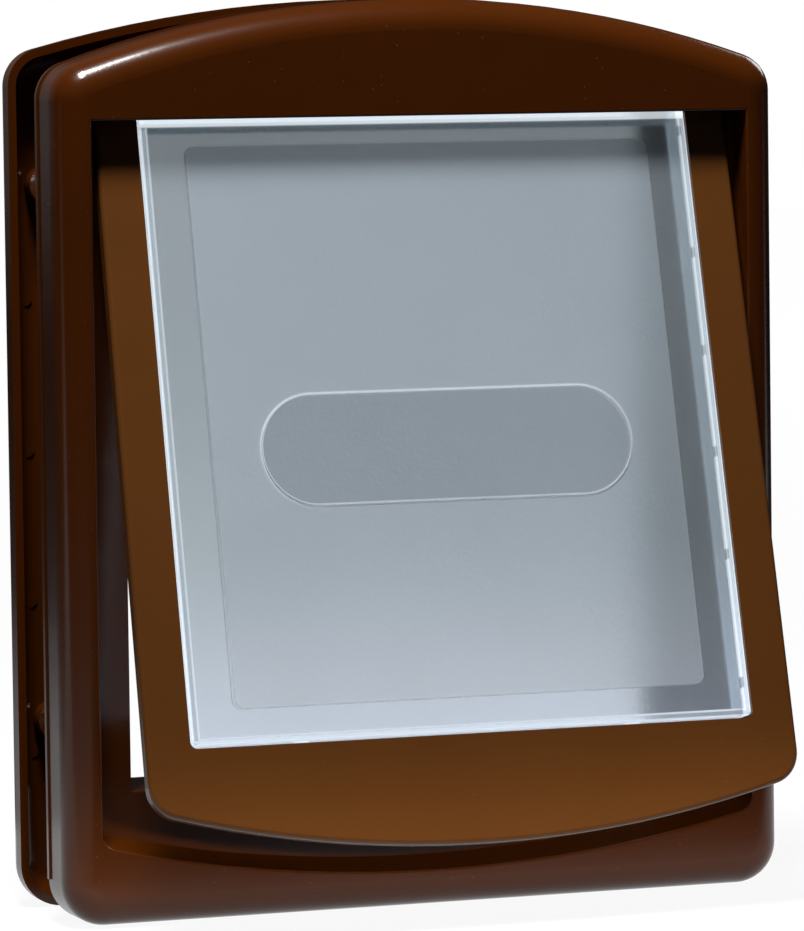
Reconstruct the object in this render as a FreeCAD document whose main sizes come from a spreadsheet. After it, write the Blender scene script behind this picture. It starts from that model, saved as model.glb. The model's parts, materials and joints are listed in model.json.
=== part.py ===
import FreeCAD, Part
import Sketcher
import os
import re
from math import atan2, pi
from FreeCAD import Placement, Rotation, Vector

# Cat flap for a house door. An outer frame and an inner frame clamp the door leaf between them,
# and a double flap hangs in the outer frame: the brown flap surround swings outwards only and
# carries a clear panel, which swings inwards alone through the passage.
# Millimetres. X runs across the door, Y points into the house and Z is up. The origin lies at the
# middle of the outer frame's bottom edge, on the plane where that frame beds on the door.

# Driving dimensions, each a name and its size.
SIZES = [
    ("frame_half_width", 99.0),        # both frames, side to side, halved
    ("frame_crown_height", 235.5),     # top of the arched head above the bottom edge
    ("frame_head_rise", 18.2),         # the arch above its two ends
    ("frame_top_corner", 10.0),
    ("frame_low_corner", 11.0),
    ("frame_roll", 8.0),               # rounded front edge of the mouldings
    ("frame_wall", 2.2),
    ("outer_depth", 19.2),             # door face to the front of the outer frame
    ("bead_depth", 1.6),               # bead up the sides and over the head of the outer frame
    ("bead_stand", 0.45),
    ("door_gap", 24.4),                # thickness of the door leaf
    ("inner_depth", 12.0),
    ("mouth_margin", 1.488),           # flat left on the inner frame's face above the mouth's corners
    ("limb_width", 9.4),               # side of the frame beside the opening
    ("head_bar_height", 30.5),         # crown of the frame down to the opening
    ("opening_low_side", 20.9),        # ends of the arched lower edge
    ("opening_sag", 11.1),
    ("opening_corner", 4.0),
    ("edge_round", 0.6),
    ("sill_rise", 2.3),                # the sill climbs from the front edge to the land
    ("land_depth", 13.3),              # front of the frame to the land behind the flap
    ("land_thick", 2.0),
    ("land_width", 11.6),              # land beside the passage
    ("lip_depth", 2.4),                # head bar in front of the hinge
    ("passage_floor", 32.8),
    ("floor_climb", 1.0),
    ("ceiling_rise", 9.0),             # ceiling of the passage above the opening
    ("tunnel_wall", 1.6),
    ("tunnel_reach", 15.1),            # the tunnel beyond the door face
    ("sleeve_gap", 1.0),               # the inner frame's sleeve runs over the tunnel
    ("sleeve_wall", 1.7),
    ("sleeve_overlap", 8.0),
    ("mouth_round", 0.8),
    ("bolt_inset", 11.5),              # side of the frame to the bolts
    ("bolt_low_height", 48.0),
    ("bolt_drop", 17.0),               # top of the opening down to the upper bolts
    ("bolt_radius", 2.0),
    ("bolt_head_radius", 3.5),
    ("bolt_head_height", 2.6),
    ("bolt_socket_radius", 1.5),
    ("bolt_socket_depth", 1.4),
    ("bolt_grip", 8.0),                # bolt thread inside its sleeve
    ("insert_radius", 3.0),
    ("insert_length", 11.0),
    ("insert_boss_wall", 1.2),
    ("insert_boss_reach", 8.2),        # the insert's boss beyond the door face
    ("head_seat_depth", 6.0),          # inner face down to the seat of the bolt head
    ("head_seat_floor", 2.0),
    ("head_boss_wall", 1.3),
    ("cap_radius", 4.6),
    ("cap_thick", 1.2),
    ("cap_spigot", 2.2),
    ("running_gap", 0.05),             # radial clearance of a pin or screw in its hole
    ("seat_gap", 0.3),                 # clearance of parts that meet and move
    ("ejector_radius", 2.0),
    ("ejector_height", 0.4),
    ("ejector_low_height", 40.0),
    ("ejector_pitch", 39.5),
    ("axis_depth", 10.9),              # hinge axis behind the front of the frame
    ("axis_rise", 3.4),                # hinge axis above the top of the opening
    ("open_angle", 14.4),              # the flap stands open by this much at rest
    ("surround_front", 1.85),          # front of the surround ahead of the hinge axis
    ("surround_depth", 3.8),
    ("surround_wall", 1.6),
    ("surround_side_gap", 3.2),        # play beside the surround in the opening
    ("surround_flare", 1.4),           # each arm leans out by this towards the bottom
    ("surround_foot", 15.4),           # lowest point of the closed surround above the frame's foot
    ("surround_sag", 12.5),
    ("surround_corner", 8.5),
    ("surround_edge", 1.3),
    ("window_gap", 0.5),               # slot between the surround and the clear panel
    ("knuckle_radius", 2.1),
    ("pin_radius", 1.25),
    ("pin_length", 33.0),
    ("pin_socket_depth", 4.0),
    ("pin_end_gap", 0.6),
    ("spring_wire", 0.4),
    ("spring_length", 14.0),
    ("spring_pitch", 1.75),
    ("panel_proud", 0.4),              # the clear panel stands ahead of the surround
    ("panel_depth", 8.7),
    ("panel_wall", 2.1),
    ("panel_side_gap", 3.2),           # play beside the clear panel in the passage
    ("panel_flare", 0.8),
    ("panel_top", 3.9),                # hinge axis down to the panel's upper edge
    ("panel_foot", 43.8),              # lower edge of the closed panel above the frame's foot
    ("panel_corner", 1.4),
    ("panel_edge", 0.5),
    ("field_inset_side", 11.7),        # raised field on the back of the clear sheet
    ("field_inset_low", 8.9),
    ("field_inset_top", 5.0),
    ("field_height", 0.4),
    ("field_corner", 2.5),
    ("plaque_half_length", 50.4),      # bare oval plaque on the front of the clear sheet
    ("plaque_half_height", 14.4),
    ("plaque_drop", 90.6),
    ("plaque_stand", 0.35),
    ("lug_reach", 1.3),                # lugs that catch behind the surround
    ("lug_height", 2.8),
    ("low_lug_half_spacing", 45.0),
    ("magnet_length", 40.0),
    ("magnet_height", 8.0),
    ("magnet_thick", 3.0),
    ("flap_magnet_thick", 1.8),
    ("magnet_rise", 6.6),              # middle of the magnets above the surround's lowest point
    ("lug_share_1", 0.0589),           # places of the side lugs, as shares of the panel's reach
    ("lug_share_2", 0.2588),
    ("lug_share_3", 0.418),
    ("lug_share_4", 0.582),
    ("lug_share_5", 0.7473),
    ("lug_share_6", 0.9526),
]
SIDE_LUGS = 6
EJECTORS = 4

# Sizes that follow from the driving ones.
WORKED_OUT = {
    "opening_half_width": "frame_half_width - limb_width",
    "passage_half_width": "opening_half_width - land_width",
    "surround_half_top": "opening_half_width - surround_side_gap",
    "surround_half_low": "surround_half_top + surround_flare",
    "panel_half_top": "passage_half_width - panel_side_gap",
    "panel_half_low": "panel_half_top + panel_flare",
    "sleeve_half": "passage_half_width + tunnel_wall + sleeve_gap",
    "sleeve_top": "passage_ceiling + tunnel_wall + sleeve_gap",
    "inner_head_drop": "frame_crown_height - frame_roll - sleeve_top - mouth_margin",
    "inner_head_rise": "inner_head_drop * (frame_half_width / sleeve_half)^2",
    "bolt_half_spacing": "frame_half_width - bolt_inset",
    "opening_top": "frame_crown_height - head_bar_height",
    "passage_ceiling": "opening_top + ceiling_rise",
    "axis_height": "opening_top + axis_rise",
    "bolt_high_height": "opening_top - bolt_drop",
    "surround_reach": "axis_height - surround_foot",
    "panel_reach": "axis_height - panel_foot",
    "magnet_drop": "surround_reach - magnet_rise",
}
ALIASES = {alias for alias, number in SIZES}
WORD = re.compile(r"[a-z_]+[a-z_0-9]*")
TO_HOUSE = Rotation(Vector(1, 0, 0), -90)   # turns a primitive's own axis to +Y
TO_RIGHT = Rotation(Vector(0, 1, 0), 90)    # turns a primitive's own axis to +X
TO_LEFT = Rotation(Vector(0, 1, 0), -90)
DOOR = "0"                                  # depth of the plane where the outer frame beds

doc = FreeCAD.newDocument("CatFlap")
sheet = doc.addObject("Spreadsheet::Sheet", "Sizes")
for row, (alias, number) in enumerate(SIZES, start=1):
    sheet.set("A%d" % row, alias)
    sheet.set("B%d" % row, str(number))
    sheet.setAlias("B%d" % row, alias)
reckoner = doc.addObject("Spreadsheet::Sheet", "Reckoner")
doc.recompute()


def named(formula):
    """The formula with every size read from the sheet, also those that follow from others."""
    def cell(found):
        word = found.group()
        if word in WORKED_OUT:
            return "(" + named(WORKED_OUT[word]) + ")"
        return "Sizes." + word if word in ALIASES else word
    return WORD.sub(cell, formula)


def bind(item, prop, formula):
    """Tie a property to a formula of sizes."""
    item.setExpression(prop, named(formula))


def worth(formula):
    """The number that a formula of sizes comes to, worked out in a sheet of its own."""
    reckoner.set("A1", "=" + named(formula))
    reckoner.recompute()
    return float(reckoner.get("A1"))


def new_body(label):
    """A body for one piece, under its own name."""
    body = doc.addObject("PartDesign::Body", "Body_" + label)
    body.Label = label
    return body


def origin_plane(body, role):
    """One of the body's own three base planes."""
    return next(item for item in body.Origin.OriginFeatures if item.Role == role)


def door_sketch(body, name, depth):
    """An empty upright sketch; its depth counts into the house."""
    sketch = body.newObject("Sketcher::SketchObject", name)
    sketch.AttachmentSupport = [(origin_plane(body, "XZ_Plane"), "")]
    sketch.MapMode = "FlatFace"
    bind(sketch, "AttachmentOffset.Base.z", "-(" + depth + ")")
    return sketch


def hold(sketch, kind, ends, formula):
    """A dimension of the sketch, tied to a formula."""
    number = sketch.addConstraint(Sketcher.Constraint(kind, *ends, worth(formula)))
    bind(sketch, "Constraints[%d]" % number, formula)


def hold_left(sketch, item, end, half, height):
    """Fix a point on the left by its half width and its height."""
    hold(sketch, "DistanceX", (item, end, -1, 1), half)
    hold_height(sketch, item, end, height)


def hold_right(sketch, item, end, half, height):
    """Fix a point on the right by its half width and its height."""
    hold(sketch, "DistanceX", (-1, 1, item, end), half)
    hold_height(sketch, item, end, height)


def hold_height(sketch, item, end, height):
    """Fix a point's height above or below the origin."""
    if worth(height) < 0:
        hold(sketch, "DistanceY", (item, end, -1, 1), "-(" + height + ")")
    else:
        hold(sketch, "DistanceY", (-1, 1, item, end), height)


def arch_radius(half, rise):
    """Formula for the radius of an arch of this half width and rise."""
    return "((%s)^2 + (%s)^2) / (2 * (%s))" % (half, rise, rise)


def outline(body, name, depth, top, low, rise=None, sag=None):
    """A four-sided outline; top and low are (half width, height), rise and sag arch the ends."""
    sketch = door_sketch(body, name, depth)
    top_half, top_height = worth(top[0]), worth(top[1])
    low_half, low_height = worth(low[0]), worth(low[1])
    low_left = Vector(-low_half, low_height, 0)
    top_left = Vector(-top_half, top_height, 0)
    top_right = Vector(top_half, top_height, 0)
    low_right = Vector(low_half, low_height, 0)
    left = sketch.addGeometry(Part.LineSegment(low_left, top_left), False)
    right = sketch.addGeometry(Part.LineSegment(top_right, low_right), False)
    hold_left(sketch, left, 1, *low)
    hold_left(sketch, left, 2, *top)
    hold_right(sketch, right, 1, *top)
    hold_right(sketch, right, 2, *low)
    if rise:
        radius = worth(arch_radius(top[0], rise))
        centre = Vector(0, top_height + worth(rise) - radius, 0)
        start = atan2(top_height - centre.y, top_half)
        circle = Part.Circle(centre, Vector(0, 0, 1), radius)
        head = sketch.addGeometry(Part.ArcOfCircle(circle, start, pi - start), False)
        sketch.addConstraint(Sketcher.Constraint("Coincident", head, 1, right, 1))
        sketch.addConstraint(Sketcher.Constraint("Coincident", head, 2, left, 2))
        hold(sketch, "Radius", (head,), arch_radius(top[0], rise))
    else:
        head = sketch.addGeometry(Part.LineSegment(top_left, top_right), False)
        sketch.addConstraint(Sketcher.Constraint("Coincident", head, 1, left, 2))
        sketch.addConstraint(Sketcher.Constraint("Coincident", head, 2, right, 1))
    if sag:
        radius = worth(arch_radius(low[0], sag))
        centre = Vector(0, low_height - worth(sag) + radius, 0)
        start = atan2(low_height - centre.y, -low_half)
        circle = Part.Circle(centre, Vector(0, 0, 1), radius)
        foot = sketch.addGeometry(Part.ArcOfCircle(circle, start, -pi - start + 2 * pi), False)
        sketch.addConstraint(Sketcher.Constraint("Coincident", foot, 1, left, 1))
        sketch.addConstraint(Sketcher.Constraint("Coincident", foot, 2, right, 2))
        hold(sketch, "Radius", (foot,), arch_radius(low[0], sag))
    else:
        foot = sketch.addGeometry(Part.LineSegment(low_right, low_left), False)
        sketch.addConstraint(Sketcher.Constraint("Coincident", foot, 1, right, 2))
        sketch.addConstraint(Sketcher.Constraint("Coincident", foot, 2, left, 1))
    return sketch


def pad(body, sketch, length, into_house=False):
    """Thicken a sketch towards the street, or into the house."""
    feature = body.newObject("PartDesign::Pad", sketch.Name + "_pad")
    feature.Profile = sketch
    feature.Reversed = into_house
    bind(feature, "Length", length)
    return feature


def pocket(body, sketch, length, into_house=True):
    """Cut a sketch into the house, or towards the street."""
    feature = body.newObject("PartDesign::Pocket", sketch.Name + "_pocket")
    feature.Profile = sketch
    feature.Reversed = not into_house
    bind(feature, "Length", length)
    return feature


def loft(body, kind, first, second):
    """A straight loft between two sketches that adds or cuts."""
    feature = body.newObject("PartDesign::" + kind, first.Name + "_loft")
    feature.Profile = first
    feature.Sections = [second]
    feature.Ruled = True
    return feature


def primitive(body, kind, name, at, sizes, turn=Rotation()):
    """A box, cylinder or prism that adds or cuts, at a place given by three formulas."""
    feature = body.newObject("PartDesign::" + kind, name)
    feature.Placement = Placement(Vector(), turn)
    for prop, formula in sizes.items():
        bind(feature, prop, formula)
    for axis, formula in zip("xyz", at):
        bind(feature, "Placement.Base." + axis, formula)
    return feature


def tip_edges(body, wanted):
    """The body's last feature and the names of those of its edges that the test picks."""
    doc.recompute()
    feature = body.Tip
    names = ["Edge%d" % number for number, edge in enumerate(feature.Shape.Edges, start=1) if wanted(edge)]
    if not names:
        raise ValueError("no edge was picked on " + body.Label)
    return feature, names


def tip_faces(body, wanted):
    """The same for faces."""
    doc.recompute()
    feature = body.Tip
    names = ["Face%d" % number for number, face in enumerate(feature.Shape.Faces, start=1) if wanted(face)]
    if not names:
        raise ValueError("no face was picked on " + body.Label)
    return feature, names


def fillet(body, name, radius, wanted):
    """Round the picked edges."""
    base = tip_edges(body, wanted)
    feature = body.newObject("PartDesign::Fillet", name)
    feature.Base = base
    bind(feature, "Radius", radius)
    return feature


def hollow(body, name, wall, wanted):
    """Turn the body into a shell that is open at the picked face."""
    base = tip_faces(body, wanted)
    feature = body.newObject("PartDesign::Thickness", name)
    feature.Base = base
    feature.Reversed = True
    bind(feature, "Value", wall)
    return feature


def cut_away(body, name, core):
    """Take one body's shape out of another."""
    feature = body.newObject("PartDesign::Boolean", name)
    feature.Type = "Cut"
    feature.setObjects([core])
    return feature


NEAR = 0.01


def close(first, second):
    """Whether two measures agree."""
    return abs(first - second) < NEAR


def runs_deep(edge):
    """A straight edge along Y."""
    ends = edge.Vertexes
    return len(ends) == 2 and close(ends[0].X, ends[1].X) and close(ends[0].Z, ends[1].Z)


def lies_at(edge, depth):
    """An edge that lies wholly in the upright plane at this depth."""
    return close(edge.BoundBox.YMin, depth) and close(edge.BoundBox.YMax, depth)


def corner_heights(edge, low, high):
    """A deep edge between two heights."""
    return runs_deep(edge) and low < edge.Vertexes[0].Z < high


def within(edge, half):
    """An edge that keeps inside a half width."""
    return edge.BoundBox.XMin > -half - NEAR and edge.BoundBox.XMax < half + NEAR


def corner_line(edge, half, low, high):
    """The straight edge up a recess corner, from one height at the front to another at the back."""
    ends = edge.Vertexes
    heights = sorted(corner.Z for corner in ends)
    aside = all(close(abs(corner.X), half) for corner in ends)
    return aside and close(heights[0], low) and close(heights[-1], high)


def faces_at(face, depth):
    """A flat upright face at this depth."""
    return close(face.BoundBox.YMin, depth) and close(face.BoundBox.YMax, depth)


# Formulas that several pieces share.
FRONT = "-outer_depth"
LAND = "land_depth - outer_depth"
LAND_BACK = "land_depth - outer_depth + land_thick"
FRAME_SHOULDER = "frame_crown_height - frame_head_rise"
INNER_SHOULDER = "frame_crown_height - inner_head_rise"
INNER_FACE = "door_gap + inner_depth"
CEILING = "passage_ceiling"
AXIS_Y = "axis_depth - outer_depth"
SLEEVE_LOW = "passage_floor - tunnel_wall - sleeve_gap"
SLEEVE_END = "tunnel_reach - sleeve_overlap"
HEAD_SEAT = INNER_FACE + " - head_seat_depth"
BOLT_TIP = "insert_boss_reach - bolt_grip"
INSERT_BORE = "insert_radius + running_gap"
BOSS_RADIUS = "insert_radius + insert_boss_wall"
BORE_RADIUS = "pin_radius + running_gap"
SIDES = (("left", "-"), ("right", ""))


def bolt_places():
    """Centres of the four fixing bolts: a short name, X and Z."""
    return (
        ("low_left", "-bolt_half_spacing", "bolt_low_height"),
        ("low_right", "bolt_half_spacing", "bolt_low_height"),
        ("top_left", "-bolt_half_spacing", "bolt_high_height"),
        ("top_right", "bolt_half_spacing", "bolt_high_height"),
    )


def make_outer_frame():
    """The moulded frame on the street side, with the recess, the land and the tunnel in one."""
    body = new_body("outer_frame")
    half = "frame_half_width - bead_stand"
    bead = outline(body, "outer_bead", DOOR, ("frame_half_width", FRAME_SHOULDER),
                   ("frame_half_width", "frame_low_corner"), rise="frame_head_rise")
    pad(body, bead, "bead_depth")
    skin = outline(body, "outer_skin", DOOR, (half, FRAME_SHOULDER), (half, "0"),
                   rise="frame_head_rise - bead_stand")
    pad(body, skin, "outer_depth")
    low, high = worth("frame_low_corner"), worth("opening_top")
    fillet(body, "outer_low_corners", "frame_low_corner", lambda edge: corner_heights(edge, -NEAR, low))
    fillet(body, "outer_top_corners", "frame_top_corner", lambda edge: corner_heights(edge, high, 2 * high))
    fillet(body, "outer_roll", "frame_roll", lambda edge: lies_at(edge, worth(FRONT)))
    core = new_body("outer_core")
    inside = half + " - frame_wall"
    room = outline(core, "outer_inside", DOOR, (inside, FRAME_SHOULDER + " - frame_wall"),
                   (inside, "frame_wall"), rise="frame_head_rise - bead_stand")
    pad(core, room, "outer_depth - frame_wall")
    fillet(core, "core_low_corners", "frame_low_corner - frame_wall",
           lambda edge: corner_heights(edge, -NEAR, low))
    fillet(core, "core_top_corners", "frame_top_corner - frame_wall",
           lambda edge: corner_heights(edge, high, 2 * high))
    fillet(core, "core_roll", "frame_roll - frame_wall",
           lambda edge: lies_at(edge, worth(FRONT + " + frame_wall")))
    cut_away(body, "outer_hollow", core)
    add_recess(body)
    add_tunnel(body)
    for name, across, height in bolt_places():
        start = LAND_BACK + " - land_thick / 2"
        primitive(body, "AdditiveCylinder", "boss_" + name, (across, start, height),
                  {"Radius": BOSS_RADIUS, "Height": "insert_boss_reach - (" + start + ")"}, TO_HOUSE)
        bore = "insert_boss_reach - insert_length"
        primitive(body, "SubtractiveCylinder", "bore_" + name, (across, bore, height),
                  {"Radius": INSERT_BORE, "Height": "insert_length + seat_gap"}, TO_HOUSE)
    add_hinge_sockets(body)
    return body


def add_recess(body):
    """The recess that the flap hangs in: its walls, the land behind the flap and the hinge chamber."""
    wall = "opening_half_width + frame_wall"
    roof = CEILING + " + tunnel_wall"
    block = outline(body, "recess_block", LAND_BACK, (wall, roof), (wall, "opening_low_side - frame_wall"),
                    sag="opening_sag")
    pad(body, block, "land_depth + land_thick - frame_wall / 2")
    mouth = outline(body, "recess_mouth", FRONT, ("opening_half_width", "opening_top"),
                    ("opening_half_width", "opening_low_side"), sag="opening_sag")
    back = outline(body, "recess_back", LAND, ("opening_half_width", "opening_top"),
                   ("opening_half_width", "opening_low_side + sill_rise"), sag="opening_sag")
    loft(body, "SubtractiveLoft", mouth, back)
    half, low = worth("opening_half_width"), worth("opening_low_side")
    fillet(body, "recess_corners", "opening_corner",
           lambda edge: corner_line(edge, half, low, worth("opening_low_side + sill_rise")))
    fillet(body, "opening_edge", "edge_round",
           lambda edge: lies_at(edge, worth(FRONT)) and within(edge, half))
    chamber = outline(body, "hinge_chamber", FRONT + " + lip_depth", ("opening_half_width", CEILING),
                      ("opening_half_width", "opening_top - lip_depth"))
    pocket(body, chamber, "land_depth - lip_depth")


def add_tunnel(body):
    """The self-lining tunnel through the door, with its floor climbing a little into the house."""
    outer = ("passage_half_width + tunnel_wall", CEILING + " + tunnel_wall")
    outer_low = ("passage_half_width + tunnel_wall", "passage_floor - tunnel_wall")
    tube = outline(body, "tunnel_outside", LAND + " + land_thick / 2", outer, outer_low)
    pad(body, tube, "tunnel_reach - (" + LAND + " + land_thick / 2)", into_house=True)
    near = outline(body, "passage_front", LAND, ("passage_half_width", CEILING),
                   ("passage_half_width", "passage_floor"))
    far = outline(body, "passage_back", "tunnel_reach", ("passage_half_width", CEILING),
                  ("passage_half_width", "passage_floor + floor_climb"))
    loft(body, "SubtractiveLoft", near, far)


def add_hinge_sockets(body):
    """A blind boss outside each side wall of the recess, where a hinge pin turns."""
    for name, sign in SIDES:
        turn = TO_RIGHT if sign == "" else TO_LEFT
        wall = sign + "opening_half_width"
        primitive(body, "AdditiveCylinder", "socket_" + name, (wall, AXIS_Y, "axis_height"),
                  {"Radius": "pin_radius * 2", "Height": "pin_socket_depth + frame_wall / 2"}, turn)
        primitive(body, "SubtractiveCylinder", "socket_bore_" + name, (wall, AXIS_Y, "axis_height"),
                  {"Radius": BORE_RADIUS, "Height": "pin_socket_depth"}, turn)


def make_inner_frame():
    """The frame on the house side, with a sleeve that runs over the tunnel."""
    body = new_body("inner_frame")
    half = "frame_half_width"
    skin = outline(body, "inner_skin", INNER_FACE, (half, INNER_SHOULDER), (half, "0"),
                   rise="inner_head_rise")
    pad(body, skin, "inner_depth")
    low, high = worth("frame_low_corner"), worth("opening_top")
    fillet(body, "inner_low_corners", "frame_low_corner", lambda edge: corner_heights(edge, -NEAR, low))
    fillet(body, "inner_top_corners", "frame_top_corner", lambda edge: corner_heights(edge, high, 2 * high))
    fillet(body, "inner_roll", "frame_roll", lambda edge: lies_at(edge, worth(INNER_FACE)))
    hollow(body, "inner_shell", "frame_wall", lambda face: faces_at(face, worth("door_gap")))
    wide = "sleeve_half + sleeve_wall"
    sleeve = outline(body, "sleeve_outside", SLEEVE_END, (wide, "sleeve_top + sleeve_wall"),
                     (wide, SLEEVE_LOW + " - sleeve_wall"))
    pad(body, sleeve, INNER_FACE + " - frame_wall / 2 - (" + SLEEVE_END + ")", into_house=True)
    for name, across, height in bolt_places():
        primitive(body, "AdditiveCylinder", "head_boss_" + name,
                  (across, HEAD_SEAT + " - head_seat_floor", height),
                  {"Radius": "bolt_head_radius + running_gap + head_boss_wall",
                   "Height": "head_seat_depth + head_seat_floor - frame_wall / 2"}, TO_HOUSE)
    way = outline(body, "sleeve_inside", SLEEVE_END, ("sleeve_half", "sleeve_top"),
                  ("sleeve_half", SLEEVE_LOW))
    pocket(body, way, INNER_FACE + " - (" + SLEEVE_END + ")")
    fillet(body, "inner_mouth", "mouth_round",
           lambda edge: lies_at(edge, worth(INNER_FACE)) and within(edge, worth("sleeve_half")))
    for name, across, height in bolt_places():
        primitive(body, "SubtractiveCylinder", "head_seat_" + name, (across, HEAD_SEAT, height),
                  {"Radius": "bolt_head_radius + running_gap", "Height": "head_seat_depth"}, TO_HOUSE)
        primitive(body, "SubtractiveCylinder", "bolt_hole_" + name,
                  (across, HEAD_SEAT + " - head_seat_floor", height),
                  {"Radius": "bolt_radius + running_gap", "Height": "head_seat_floor"}, TO_HOUSE)
    for name, sign in SIDES:
        for number in range(EJECTORS):
            across = sign + "(frame_half_width - frame_wall - 2 * ejector_radius)"
            height = "ejector_low_height + %d * ejector_pitch" % number
            primitive(body, "AdditiveCylinder", "ejector_%s_%d" % (name, number),
                      (across, INNER_FACE + " - frame_wall - ejector_height", height),
                      {"Radius": "ejector_radius", "Height": "ejector_height + frame_wall / 2"}, TO_HOUSE)
    return body


SURROUND_BACK = "surround_depth - surround_front"
PANEL_FRONT = "-surround_front - panel_proud"
PANEL_BACK = "panel_depth - surround_front - panel_proud"
WINDOW_TOP = "panel_half_top + window_gap"
WINDOW_LOW = "panel_half_low + window_gap"


def hang(body):
    """Hang a body, drawn round its hinge axis, on the frame's axis at the rest opening."""
    bind(body, "Placement.Base.y", AXIS_Y)
    bind(body, "Placement.Base.z", "axis_height")
    body.Placement.Rotation = Rotation(Vector(1, 0, 0), -worth("open_angle"))
    return body


def make_surround():
    """The brown U-shaped flap: a shallow shell, open at its back, with an ear at each top end."""
    body = new_body("flap_surround")
    shape = outline(body, "surround_skin", SURROUND_BACK, ("surround_half_top", "0"),
                    ("surround_half_low", "surround_sag - surround_reach"), sag="surround_sag")
    pad(body, shape, "surround_depth")
    window = outline(body, "window", SURROUND_BACK, (WINDOW_TOP, "knuckle_radius * 2"),
                     (WINDOW_LOW, "-panel_reach - window_gap"))
    pocket(body, window, "surround_depth", into_house=False)
    window_low = worth("-panel_reach - window_gap")
    fillet(body, "surround_corners", "surround_corner",
           lambda edge: runs_deep(edge) and edge.Vertexes[0].Z < window_low - NEAR)
    fillet(body, "window_corners", "panel_corner + window_gap",
           lambda edge: runs_deep(edge) and close(edge.Vertexes[0].Z, window_low))
    front = worth("-surround_front")
    wide = worth(WINDOW_LOW)
    fillet(body, "surround_front_edge", "surround_edge",
           lambda edge: lies_at(edge, front) and not within(edge, wide))
    core = new_body("surround_core")
    room = outline(core, "surround_room", SURROUND_BACK,
                   ("surround_half_top - surround_wall", "-knuckle_radius"),
                   ("surround_half_low - surround_wall", "surround_sag - surround_reach + surround_wall"),
                   sag="surround_sag")
    pad(core, room, "surround_depth - surround_wall")
    fillet(core, "room_corners", "surround_corner - surround_wall",
           lambda edge: runs_deep(edge) and edge.Vertexes[0].Z < window_low - NEAR)
    rim = outline(core, "window_rim", SURROUND_BACK, (WINDOW_TOP + " + surround_wall", "0"),
                  (WINDOW_LOW + " + surround_wall", "-panel_reach - window_gap - surround_wall"))
    pocket(core, rim, "surround_depth", into_house=False)
    cut_away(body, "surround_hollow", core)
    for name, sign in SIDES:
        start = WINDOW_TOP if sign == "" else "-surround_half_top"
        ear_length = "surround_half_top - (" + WINDOW_TOP + ")"
        primitive(body, "AdditiveCylinder", "ear_" + name, (start, "0", "0"),
                  {"Radius": "knuckle_radius", "Height": ear_length}, TO_RIGHT)
        start = WINDOW_TOP if sign == "" else "-surround_half_low"
        primitive(body, "SubtractiveCylinder", "ear_bore_" + name, (start, "0", "0"),
                  {"Radius": BORE_RADIUS, "Height": "surround_half_low - (" + WINDOW_TOP + ")"}, TO_RIGHT)
    return hang(body)


def panel_half(drop):
    """Formula for the panel's half width at a drop below the hinge axis."""
    share = "(%s - panel_top) / (panel_reach - panel_top)" % drop
    return "panel_half_top + (panel_half_low - panel_half_top) * " + share


def make_panel():
    """The clear flap: a front sheet with side walls running back, a hinge tube and its lugs."""
    body = new_body("flap_panel")
    shape = outline(body, "panel_skin", PANEL_BACK, ("panel_half_top", "-panel_top"),
                    ("panel_half_low", "-panel_reach"))
    pad(body, shape, "panel_depth")
    fillet(body, "panel_corners", "panel_corner",
           lambda edge: runs_deep(edge) and close(edge.Vertexes[0].Z, -worth("panel_reach")))
    fillet(body, "panel_front_edge", "panel_edge", lambda edge: lies_at(edge, worth(PANEL_FRONT)))
    room = outline(body, "panel_inside", PANEL_BACK,
                   ("panel_half_top - panel_wall", "-panel_top - panel_wall"),
                   ("panel_half_low - panel_wall", "panel_wall - panel_reach"))
    pocket(body, room, "panel_depth - panel_wall", into_house=False)
    sheet_back = PANEL_FRONT + " + panel_wall"
    web = outline(body, "hinge_web", sheet_back, ("panel_half_top - window_gap", "0"),
                  ("panel_half_top - window_gap", "-panel_top - panel_wall / 2"))
    pad(body, web, "knuckle_radius + (" + sheet_back + ")")
    primitive(body, "AdditiveCylinder", "hinge_tube", ("window_gap - panel_half_top", "0", "0"),
              {"Radius": "knuckle_radius", "Height": "2 * (panel_half_top - window_gap)"}, TO_RIGHT)
    primitive(body, "SubtractiveCylinder", "pin_bore_left", ("-panel_half_top", "0", "0"),
              {"Radius": BORE_RADIUS, "Height": PIN_INSIDE}, TO_RIGHT)
    primitive(body, "SubtractiveCylinder", "pin_bore_right", ("panel_half_top", "0", "0"),
              {"Radius": BORE_RADIUS, "Height": PIN_INSIDE + " + spring_length"}, TO_LEFT)
    add_field(body)
    add_plaque(body)
    add_lugs(body)
    return hang(body)


def add_field(body):
    """The raised field on the back of the clear sheet, whose edge shows through as a thin line."""
    back = PANEL_FRONT + " + panel_wall"
    field = outline(body, "field", back + " + field_height",
                    ("panel_half_top - field_inset_side", "-panel_top - panel_wall - field_inset_top"),
                    ("panel_half_low - field_inset_side", "field_inset_low - panel_reach"))
    pad(body, field, "field_height + panel_wall / 2")
    low = worth("field_inset_low - panel_reach") - NEAR
    high = worth("-panel_top - panel_wall - field_inset_top") + NEAR
    inset = worth("panel_half_low - field_inset_side") + NEAR
    fillet(body, "field_corners", "field_corner",
           lambda edge: corner_heights(edge, low, high) and abs(edge.Vertexes[0].X) < inset
           and close(edge.Length, worth("field_height")))


def add_plaque(body):
    """The bare oval plaque on the front of the clear sheet."""
    front = PANEL_FRONT + " - plaque_stand"
    deep = "plaque_stand + panel_wall / 2"
    straight = "plaque_half_length - plaque_half_height"
    primitive(body, "AdditiveBox", "plaque_middle",
              ("-(" + straight + ")", front, "-plaque_drop - plaque_half_height"),
              {"Length": "2 * (" + straight + ")", "Width": deep, "Height": "2 * plaque_half_height"})
    for name, sign in SIDES:
        primitive(body, "AdditiveCylinder", "plaque_end_" + name,
                  (sign + "(" + straight + ")", front, "-plaque_drop"),
                  {"Radius": "plaque_half_height", "Height": deep}, TO_HOUSE)


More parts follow.
